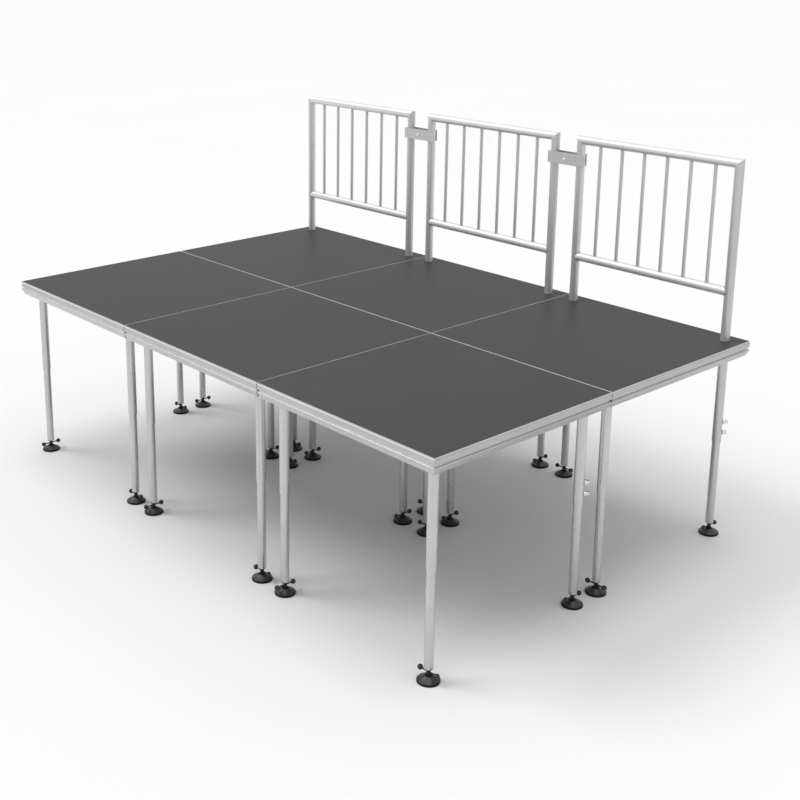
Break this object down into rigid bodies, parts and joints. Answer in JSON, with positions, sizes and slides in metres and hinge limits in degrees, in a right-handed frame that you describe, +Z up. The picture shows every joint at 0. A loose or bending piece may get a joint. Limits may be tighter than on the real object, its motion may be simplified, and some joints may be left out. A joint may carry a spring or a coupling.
{
  "type": "portable catwalk stage",
  "caption": "Modular stage of square decks with aluminium rims on telescopic legs with levelling feet, with clamped baluster guardrails along the back edge.",
  "frame": {"origin": "on the floor, under the centre of the stage's rectangle", "axes": "+Z up, +X along the long side, +Y toward the edge with the guardrails"},
  "size_m": [3.6596, 2.4396, 2.1401],
  "materials": {
    "aluminium": "satin mill finish",
    "deck_board": "dark grey phenolic film on plywood, semi-matt",
    "zinc_plated_steel": "zinc plated"
  },
  "bodies": {
    "stage": {"front_left_deck_frame": "aluminium", "front_left_deck_panel": "deck_board", "front_left_deck_brace": "aluminium", "front_middle_deck_frame": "aluminium", "front_middle_deck_panel": "deck_board", "front_middle_deck_brace": "aluminium", "front_right_deck_frame": "aluminium", "front_right_deck_panel": "deck_board", "front_right_deck_brace": "aluminium", "back_left_deck_frame": "aluminium", "back_left_deck_panel": "deck_board", "back_left_deck_brace": "aluminium", "back_middle_deck_frame": "aluminium", "back_middle_deck_panel": "deck_board", "back_middle_deck_brace": "aluminium", "back_right_deck_frame": "aluminium", "back_right_deck_panel": "deck_board", "back_right_deck_brace": "aluminium", "front_row_left_link_key": "zinc_plated_steel", "front_row_right_link_key": "zinc_plated_steel", "back_row_left_link_key": "zinc_plated_steel", "back_row_right_link_key": "zinc_plated_steel", "left_column_link_key": "zinc_plated_steel", "middle_column_link_key": "zinc_plated_steel", "right_column_link_key": "zinc_plated_steel"},
    "front_left_deck_leg_front_left": {"front_left_deck_leg_front_left": "aluminium"},
    "front_left_deck_leg_front_right": {"front_left_deck_leg_front_right": "aluminium"},
    "front_left_deck_leg_back_left": {"front_left_deck_leg_back_left": "aluminium"},
    "front_left_deck_leg_back_right": {"front_left_deck_leg_back_right": "aluminium"},
    "front_middle_deck_leg_front_left": {"front_middle_deck_leg_front_left": "aluminium"},
    "front_middle_deck_leg_front_right": {"front_middle_deck_leg_front_right": "aluminium"},
    "front_middle_deck_leg_back_left": {"front_middle_deck_leg_back_left": "aluminium"},
    "front_middle_deck_leg_back_right": {"front_middle_deck_leg_back_right": "aluminium"},
    "front_right_deck_leg_front_left": {"front_right_deck_leg_front_left": "aluminium"},
    "front_right_deck_leg_front_right": {"front_right_deck_leg_front_right": "aluminium"},
    "front_right_deck_leg_back_left": {"front_right_deck_leg_back_left": "aluminium"},
    "front_right_deck_leg_back_right": {"front_right_deck_leg_back_right": "aluminium"},
    "back_left_deck_leg_front_left": {"back_left_deck_leg_front_left": "aluminium"},
    "back_left_deck_leg_front_right": {"back_left_deck_leg_front_right": "aluminium"},
    "back_left_deck_leg_back_left": {"back_left_deck_leg_back_left": "aluminium"},
    "back_left_deck_leg_back_right": {"back_left_deck_leg_back_right": "aluminium"},
    "back_middle_deck_leg_front_left": {"back_middle_deck_leg_front_left": "aluminium"},
    "back_middle_deck_leg_front_right": {"back_middle_deck_leg_front_right": "aluminium"},
    "back_middle_deck_leg_back_left": {"back_middle_deck_leg_back_left": "aluminium"},
    "back_middle_deck_leg_back_right": {"back_middle_deck_leg_back_right": "aluminium"},
    "back_right_deck_leg_front_left": {"back_right_deck_leg_front_left": "aluminium"},
    "back_right_deck_leg_front_right": {"back_right_deck_leg_front_right": "aluminium"},
    "back_right_deck_leg_back_left": {"back_right_deck_leg_back_left": "aluminium"},
    "back_right_deck_leg_back_right": {"back_right_deck_leg_back_right": "aluminium"},
    "left_guardrail": {"left_guardrail": "aluminium"},
    "middle_guardrail": {"middle_guardrail": "aluminium", "left_clamp_front_plate": "aluminium", "left_clamp_bolt": "zinc_plated_steel", "right_clamp_front_plate": "aluminium", "right_clamp_bolt": "zinc_plated_steel"},
    "right_guardrail": {"right_guardrail": "aluminium"},
    "left_clamp_back_plate": {"left_clamp_back_plate": "aluminium"},
    "left_clamp_wing_nut": {"left_clamp_wing_nut": "zinc_plated_steel"},
    "right_clamp_back_plate": {"right_clamp_back_plate": "aluminium"},
    "right_clamp_wing_nut": {"right_clamp_wing_nut": "zinc_plated_steel"}
  },
  "joints": [
    {"name": "front_left_deck_leg_front_left_slide", "type": "slide", "parent": "stage", "child": "front_left_deck_leg_front_left", "axis": [0, 0, 1], "range_m": [-0.058, 0.322]},
    {"name": "front_left_deck_leg_front_right_slide", "type": "slide", "parent": "stage", "child": "front_left_deck_leg_front_right", "axis": [0, 0, 1], "range_m": [-0.058, 0.322]},
    {"name": "front_left_deck_leg_back_left_slide", "type": "slide", "parent": "stage", "child": "front_left_deck_leg_back_left", "axis": [0, 0, 1], "range_m": [-0.058, 0.322]},
    {"name": "front_left_deck_leg_back_right_slide", "type": "slide", "parent": "stage", "child": "front_left_deck_leg_back_right", "axis": [0, 0, 1], "range_m": [-0.058, 0.322]},
    {"name": "front_middle_deck_leg_front_left_slide", "type": "slide", "parent": "stage", "child": "front_middle_deck_leg_front_left", "axis": [0, 0, 1], "range_m": [-0.058, 0.322]},
    {"name": "front_middle_deck_leg_front_right_slide", "type": "slide", "parent": "stage", "child": "front_middle_deck_leg_front_right", "axis": [0, 0, 1], "range_m": [-0.058, 0.322]},
    {"name": "front_middle_deck_leg_back_left_slide", "type": "slide", "parent": "stage", "child": "front_middle_deck_leg_back_left", "axis": [0, 0, 1], "range_m": [-0.058, 0.322]},
    {"name": "front_middle_deck_leg_back_right_slide", "type": "slide", "parent": "stage", "child": "front_middle_deck_leg_back_right", "axis": [0, 0, 1], "range_m": [-0.058, 0.322]},
    {"name": "front_right_deck_leg_front_left_slide", "type": "slide", "parent": "stage", "child": "front_right_deck_leg_front_left", "axis": [0, 0, 1], "range_m": [-0.058, 0.322]},
    {"name": "front_right_deck_leg_front_right_slide", "type": "slide", "parent": "stage", "child": "front_right_deck_leg_front_right", "axis": [0, 0, 1], "range_m": [-0.058, 0.322]},
    {"name": "front_right_deck_leg_back_left_slide", "type": "slide", "parent": "stage", "child": "front_right_deck_leg_back_left", "axis": [0, 0, 1], "range_m": [-0.058, 0.322]},
    {"name": "front_right_deck_leg_back_right_slide", "type": "slide", "parent": "stage", "child": "front_right_deck_leg_back_right", "axis": [0, 0, 1], "range_m": [-0.058, 0.322]},
    {"name": "back_left_deck_leg_front_left_slide", "type": "slide", "parent": "stage", "child": "back_left_deck_leg_front_left", "axis": [0, 0, 1], "range_m": [-0.058, 0.322]},
    {"name": "back_left_deck_leg_front_right_slide", "type": "slide", "parent": "stage", "child": "back_left_deck_leg_front_right", "axis": [0, 0, 1], "range_m": [-0.058, 0.322]},
    {"name": "back_left_deck_leg_back_left_slide", "type": "slide", "parent": "stage", "child": "back_left_deck_leg_back_left", "axis": [0, 0, 1], "range_m": [-0.058, 0.322]},
    {"name": "back_left_deck_leg_back_right_slide", "type": "slide", "parent": "stage", "child": "back_left_deck_leg_back_right", "axis": [0, 0, 1], "range_m": [-0.058, 0.322]},
    {"name": "back_middle_deck_leg_front_left_slide", "type": "slide", "parent": "stage", "child": "back_middle_deck_leg_front_left", "axis": [0, 0, 1], "range_m": [-0.058, 0.322]},
    {"name": "back_middle_deck_leg_front_right_slide", "type": "slide", "parent": "stage", "child": "back_middle_deck_leg_front_right", "axis": [0, 0, 1], "range_m": [-0.058, 0.322]},
    {"name": "back_middle_deck_leg_back_left_slide", "type": "slide", "parent": "stage", "child": "back_middle_deck_leg_back_left", "axis": [0, 0, 1], "range_m": [-0.058, 0.322]},
    {"name": "back_middle_deck_leg_back_right_slide", "type": "slide", "parent": "stage", "child": "back_middle_deck_leg_back_right", "axis": [0, 0, 1], "range_m": [-0.058, 0.322]},
    {"name": "back_right_deck_leg_front_left_slide", "type": "slide", "parent": "stage", "child": "back_right_deck_leg_front_left", "axis": [0, 0, 1], "range_m": [-0.058, 0.322]},
    {"name": "back_right_deck_leg_front_right_slide", "type": "slide", "parent": "stage", "child": "back_right_deck_leg_front_right", "axis": [0, 0, 1], "range_m": [-0.058, 0.322]},
    {"name": "back_right_deck_leg_back_left_slide", "type": "slide", "parent": "stage", "child": "back_right_deck_leg_back_left", "axis": [0, 0, 1], "range_m": [-0.058, 0.322]},
    {"name": "back_right_deck_leg_back_right_slide", "type": "slide", "parent": "stage", "child": "back_right_deck_leg_back_right", "axis": [0, 0, 1], "range_m": [-0.058, 0.322]},
    {"name": "left_guardrail_lift", "type": "slide", "parent": "stage", "child": "left_guardrail", "axis": [0, 0, 1], "range_m": [0, 0.12]},
    {"name": "middle_guardrail_lift", "type": "slide", "parent": "stage", "child": "middle_guardrail", "axis": [0, 0, 1], "range_m": [0, 0.12]},
    {"name": "right_guardrail_lift", "type": "slide", "parent": "stage", "child": "right_guardrail", "axis": [0, 0, 1], "range_m": [0, 0.12]},
    {"name": "left_clamp_back_plate_slide", "type": "slide", "parent": "middle_guardrail", "child": "left_clamp_back_plate", "axis": [0, 1, 0], "range_m": [0, 0.0045]},
    {"name": "left_clamp_wing_nut_turn", "type": "hinge", "parent": "left_clamp_back_plate", "child": "left_clamp_wing_nut", "pos_m": [-0.61, 1.1245, 1.9949], "axis": [0, 1, 0], "range_deg": [0, 1080]},
    {"name": "right_clamp_back_plate_slide", "type": "slide", "parent": "middle_guardrail", "child": "right_clamp_back_plate", "axis": [0, 1, 0], "range_m": [0, 0.0045]},
    {"name": "right_clamp_wing_nut_turn", "type": "hinge", "parent": "right_clamp_back_plate", "child": "right_clamp_wing_nut", "pos_m": [0.61, 1.1245, 1.9949], "axis": [0, 1, 0], "range_deg": [0, 1080]}
  ],
  "couplings": [
    {"joint": "left_clamp_wing_nut_turn", "follows": "left_clamp_back_plate_slide", "rad_per_m": 4188.8},
    {"joint": "right_clamp_wing_nut_turn", "follows": "right_clamp_back_plate_slide", "rad_per_m": 4188.8}
  ]
}
